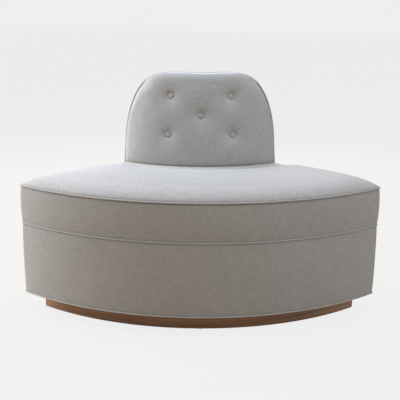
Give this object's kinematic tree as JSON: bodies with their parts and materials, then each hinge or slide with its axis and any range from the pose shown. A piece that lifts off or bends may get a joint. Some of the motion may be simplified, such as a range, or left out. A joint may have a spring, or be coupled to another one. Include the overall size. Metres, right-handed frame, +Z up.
{
  "type": "conversation sofa",
  "caption": "Wedge unit of a conversation sofa: convex front, flat joining sides, hollow rear, tight welted seat, convex buttoned back and set-back walnut plinth.",
  "frame": {"origin": "on the floor, under the centre of the bounding box", "axes": "+Z up, the convex front faces -Y, +X to the right as seen from the front"},
  "size_m": [1.1858, 0.5894, 0.7796],
  "materials": {
    "fabric": "matte",
    "walnut": "satin",
    "plywood": "matte",
    "foam": "matte",
    "webbing": "matte",
    "hessian": "matte",
    "lining": "matte",
    "nylon": "satin"
  },
  "bodies": {
    "root": {"base_cover": "fabric", "seat_band": "fabric", "seat_top_panel": "fabric", "welt_base_bottom": "fabric", "welt_seat_middle": "fabric", "welt_seat_top": "fabric", "back_front_cover": "fabric", "back_band": "fabric", "back_outside_cover": "fabric", "welt_back_front": "fabric", "welt_back_rear": "fabric", "back_button_top_left": "fabric", "back_button_top_right": "fabric", "back_button_middle": "fabric", "back_button_bottom_left": "fabric", "back_button_bottom_right": "fabric", "plinth_front": "walnut", "plinth_rear": "walnut", "plinth_left": "walnut", "plinth_right": "walnut", "plinth_block_front_left": "plywood", "plinth_block_front_right": "plywood", "plinth_block_rear_left": "plywood", "plinth_block_rear_right": "plywood", "base_ring_lower": "plywood", "seat_ring": "plywood", "stud_front_left": "plywood", "stud_front_middle_left": "plywood", "stud_front_centre": "plywood", "stud_front_middle_right": "plywood", "stud_front_right": "plywood", "stud_rear_left": "plywood", "stud_rear_right": "plywood", "base_skin_front": "plywood", "base_skin_rear": "plywood", "base_skin_left": "plywood", "base_skin_right": "plywood", "back_post_left": "plywood", "back_post_right": "plywood", "back_panel": "plywood", "back_rim": "plywood", "back_rail_lower": "plywood", "back_rail_upper": "plywood", "back_outside_panel": "plywood", "seat_foam": "foam", "back_pad": "foam", "strap_across_1": "webbing", "strap_across_2": "webbing", "strap_across_3": "webbing", "strap_lengthwise_1": "webbing", "strap_lengthwise_2": "webbing", "strap_lengthwise_3": "webbing", "seat_hessian": "hessian", "dust_cover": "lining", "glide_front_centre": "nylon", "glide_front_left": "nylon", "glide_front_right": "nylon", "glide_rear_left": "nylon", "glide_rear_right": "nylon"}
  },
  "joints": []
}
